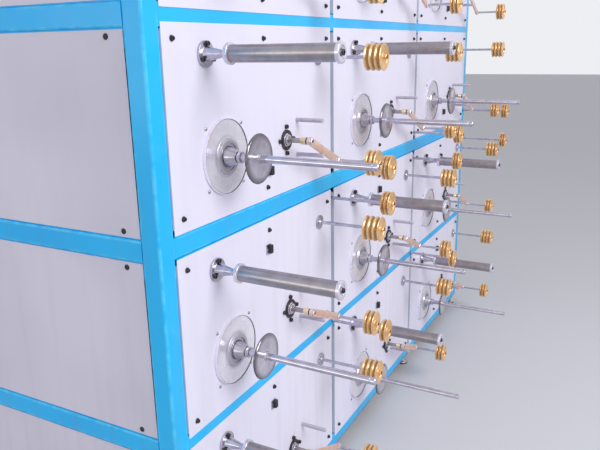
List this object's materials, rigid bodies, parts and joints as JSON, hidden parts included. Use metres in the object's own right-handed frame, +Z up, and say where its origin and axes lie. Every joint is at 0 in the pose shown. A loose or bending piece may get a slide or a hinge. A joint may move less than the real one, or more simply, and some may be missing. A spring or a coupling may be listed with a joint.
{
  "type": "multi-head wire winding cabinet",
  "caption": "Tall blue-framed cabinet with off-white panels, rows of winding spindles, guide rollers, swinging dancer arms and brass wire pulleys.",
  "frame": {"origin": "on the floor, at the middle of the whole outline", "axes": "+Z up, +X along the front to the right, the spindles point to -Y"},
  "size_m": [2.5374, 1.291, 2.016],
  "materials": {
    "frame_blue": "gloss sky-blue enamel",
    "frame_teal": "blue enamel in the seams",
    "panel_paint": "satin off-white powder coat",
    "end_panel_paint": "satin grey-lavender powder coat",
    "zinc_steel": "bright zinc plate",
    "shaft_steel": "ground and polished",
    "bearing_aluminium": "turned, satin",
    "roller_steel": "satin stainless",
    "pulley_brass": "turned brass",
    "bracket_black": "black",
    "stop_plastic": "grey sleeve",
    "arm_copper": "tan copper"
  },
  "bodies": {
    "cabinet": {"corner_posts": "frame_blue", "seam_posts": "frame_teal", "front_rails": "frame_blue", "back_rails": "frame_blue", "end_rails": "frame_blue", "cross_rails": "frame_blue", "fixing_bars": "frame_blue", "levelling_feet": "zinc_steel", "top_panel": "panel_paint", "base_panel": "panel_paint", "left_end_panels": "end_panel_paint", "right_end_panels": "end_panel_paint", "back_panels": "panel_paint", "spindle_bearings": "bearing_aluminium", "roller_axles": "zinc_steel", "guide_rollers": "roller_steel", "pulley_posts": "zinc_steel", "guide_pulleys": "pulley_brass", "dancer_brackets": "bracket_black", "dancer_stops": "stop_plastic", "sensor_blocks": "bracket_black", "seam_pulley_rods": "zinc_steel", "seam_pulleys": "pulley_brass", "front_panels_tier_1": "panel_paint", "front_panels_tier_2": "panel_paint", "front_panels_tier_3": "panel_paint", "front_panels_tier_4": "panel_paint"},
    "spindle_tier_1_bay_1": {"spindle_tier_1_bay_1": "shaft_steel"},
    "dancer_tier_1_bay_1": {"dancer_tier_1_bay_1": "arm_copper"},
    "spindle_tier_1_bay_2": {"spindle_tier_1_bay_2": "shaft_steel"},
    "dancer_tier_1_bay_2": {"dancer_tier_1_bay_2": "arm_copper"},
    "spindle_tier_1_bay_3": {"spindle_tier_1_bay_3": "shaft_steel"},
    "dancer_tier_1_bay_3": {"dancer_tier_1_bay_3": "arm_copper"},
    "spindle_tier_2_bay_1": {"spindle_tier_2_bay_1": "shaft_steel"},
    "dancer_tier_2_bay_1": {"dancer_tier_2_bay_1": "arm_copper"},
    "spindle_tier_2_bay_2": {"spindle_tier_2_bay_2": "shaft_steel"},
    "dancer_tier_2_bay_2": {"dancer_tier_2_bay_2": "arm_copper"},
    "spindle_tier_2_bay_3": {"spindle_tier_2_bay_3": "shaft_steel"},
    "dancer_tier_2_bay_3": {"dancer_tier_2_bay_3": "arm_copper"},
    "spindle_tier_3_bay_1": {"spindle_tier_3_bay_1": "shaft_steel"},
    "dancer_tier_3_bay_1": {"dancer_tier_3_bay_1": "arm_copper"},
    "spindle_tier_3_bay_2": {"spindle_tier_3_bay_2": "shaft_steel"},
    "dancer_tier_3_bay_2": {"dancer_tier_3_bay_2": "arm_copper"},
    "spindle_tier_3_bay_3": {"spindle_tier_3_bay_3": "shaft_steel"},
    "dancer_tier_3_bay_3": {"dancer_tier_3_bay_3": "arm_copper"},
    "spindle_tier_4_bay_1": {"spindle_tier_4_bay_1": "shaft_steel"},
    "dancer_tier_4_bay_1": {"dancer_tier_4_bay_1": "arm_copper"},
    "spindle_tier_4_bay_2": {"spindle_tier_4_bay_2": "shaft_steel"},
    "dancer_tier_4_bay_2": {"dancer_tier_4_bay_2": "arm_copper"},
    "spindle_tier_4_bay_3": {"spindle_tier_4_bay_3": "shaft_steel"},
    "dancer_tier_4_bay_3": {"dancer_tier_4_bay_3": "arm_copper"}
  },
  "joints": [
    {"name": "spindle_turn_tier_1_bay_1", "type": "hinge", "parent": "cabinet", "child": "spindle_tier_1_bay_1", "pos_m": [-1.01375, -0.2585, 0.233], "axis": [0, -1, 0], "continuous": true},
    {"name": "dancer_swing_tier_1_bay_1", "type": "hinge", "parent": "cabinet", "child": "dancer_tier_1_bay_1", "pos_m": [-0.71875, -0.2585, 0.233], "axis": [0, -1, 0], "range_deg": [0, 49.03]},
    {"name": "spindle_turn_tier_1_bay_2", "type": "hinge", "parent": "cabinet", "child": "spindle_tier_1_bay_2", "pos_m": [-0.18875, -0.2585, 0.233], "axis": [0, -1, 0], "continuous": true},
    {"name": "dancer_swing_tier_1_bay_2", "type": "hinge", "parent": "cabinet", "child": "dancer_tier_1_bay_2", "pos_m": [0.10625, -0.2585, 0.233], "axis": [0, -1, 0], "range_deg": [0, 49.03]},
    {"name": "spindle_turn_tier_1_bay_3", "type": "hinge", "parent": "cabinet", "child": "spindle_tier_1_bay_3", "pos_m": [0.63625, -0.2585, 0.233], "axis": [0, -1, 0], "continuous": true},
    {"name": "dancer_swing_tier_1_bay_3", "type": "hinge", "parent": "cabinet", "child": "dancer_tier_1_bay_3", "pos_m": [0.93125, -0.2585, 0.233], "axis": [0, -1, 0], "range_deg": [0, 49.03]},
    {"name": "spindle_turn_tier_2_bay_1", "type": "hinge", "parent": "cabinet", "child": "spindle_tier_2_bay_1", "pos_m": [-1.01375, -0.2585, 0.705], "axis": [0, -1, 0], "continuous": true},
    {"name": "dancer_swing_tier_2_bay_1", "type": "hinge", "parent": "cabinet", "child": "dancer_tier_2_bay_1", "pos_m": [-0.71875, -0.2585, 0.705], "axis": [0, -1, 0], "range_deg": [0, 49.03]},
    {"name": "spindle_turn_tier_2_bay_2", "type": "hinge", "parent": "cabinet", "child": "spindle_tier_2_bay_2", "pos_m": [-0.18875, -0.2585, 0.705], "axis": [0, -1, 0], "continuous": true},
    {"name": "dancer_swing_tier_2_bay_2", "type": "hinge", "parent": "cabinet", "child": "dancer_tier_2_bay_2", "pos_m": [0.10625, -0.2585, 0.705], "axis": [0, -1, 0], "range_deg": [0, 49.03]},
    {"name": "spindle_turn_tier_2_bay_3", "type": "hinge", "parent": "cabinet", "child": "spindle_tier_2_bay_3", "pos_m": [0.63625, -0.2585, 0.705], "axis": [0, -1, 0], "continuous": true},
    {"name": "dancer_swing_tier_2_bay_3", "type": "hinge", "parent": "cabinet", "child": "dancer_tier_2_bay_3", "pos_m": [0.93125, -0.2585, 0.705], "axis": [0, -1, 0], "range_deg": [0, 49.03]},
    {"name": "spindle_turn_tier_3_bay_1", "type": "hinge", "parent": "cabinet", "child": "spindle_tier_3_bay_1", "pos_m": [-1.01375, -0.2585, 1.203], "axis": [0, -1, 0], "continuous": true},
    {"name": "dancer_swing_tier_3_bay_1", "type": "hinge", "parent": "cabinet", "child": "dancer_tier_3_bay_1", "pos_m": [-0.71875, -0.2585, 1.203], "axis": [0, -1, 0], "range_deg": [0, 49.03]},
    {"name": "spindle_turn_tier_3_bay_2", "type": "hinge", "parent": "cabinet", "child": "spindle_tier_3_bay_2", "pos_m": [-0.18875, -0.2585, 1.203], "axis": [0, -1, 0], "continuous": true},
    {"name": "dancer_swing_tier_3_bay_2", "type": "hinge", "parent": "cabinet", "child": "dancer_tier_3_bay_2", "pos_m": [0.10625, -0.2585, 1.203], "axis": [0, -1, 0], "range_deg": [0, 49.03]},
    {"name": "spindle_turn_tier_3_bay_3", "type": "hinge", "parent": "cabinet", "child": "spindle_tier_3_bay_3", "pos_m": [0.63625, -0.2585, 1.203], "axis": [0, -1, 0], "continuous": true},
    {"name": "dancer_swing_tier_3_bay_3", "type": "hinge", "parent": "cabinet", "child": "dancer_tier_3_bay_3", "pos_m": [0.93125, -0.2585, 1.203], "axis": [0, -1, 0], "range_deg": [0, 49.03]},
    {"name": "spindle_turn_tier_4_bay_1", "type": "hinge", "parent": "cabinet", "child": "spindle_tier_4_bay_1", "pos_m": [-1.01375, -0.2585, 1.675], "axis": [0, -1, 0], "continuous": true},
    {"name": "dancer_swing_tier_4_bay_1", "type": "hinge", "parent": "cabinet", "child": "dancer_tier_4_bay_1", "pos_m": [-0.71875, -0.2585, 1.675], "axis": [0, -1, 0], "range_deg": [0, 49.03]},
    {"name": "spindle_turn_tier_4_bay_2", "type": "hinge", "parent": "cabinet", "child": "spindle_tier_4_bay_2", "pos_m": [-0.18875, -0.2585, 1.675], "axis": [0, -1, 0], "continuous": true},
    {"name": "dancer_swing_tier_4_bay_2", "type": "hinge", "parent": "cabinet", "child": "dancer_tier_4_bay_2", "pos_m": [0.10625, -0.2585, 1.675], "axis": [0, -1, 0], "range_deg": [0, 49.03]},
    {"name": "spindle_turn_tier_4_bay_3", "type": "hinge", "parent": "cabinet", "child": "spindle_tier_4_bay_3", "pos_m": [0.63625, -0.2585, 1.675], "axis": [0, -1, 0], "continuous": true},
    {"name": "dancer_swing_tier_4_bay_3", "type": "hinge", "parent": "cabinet", "child": "dancer_tier_4_bay_3", "pos_m": [0.93125, -0.2585, 1.675], "axis": [0, -1, 0], "range_deg": [0, 49.03]}
  ]
}
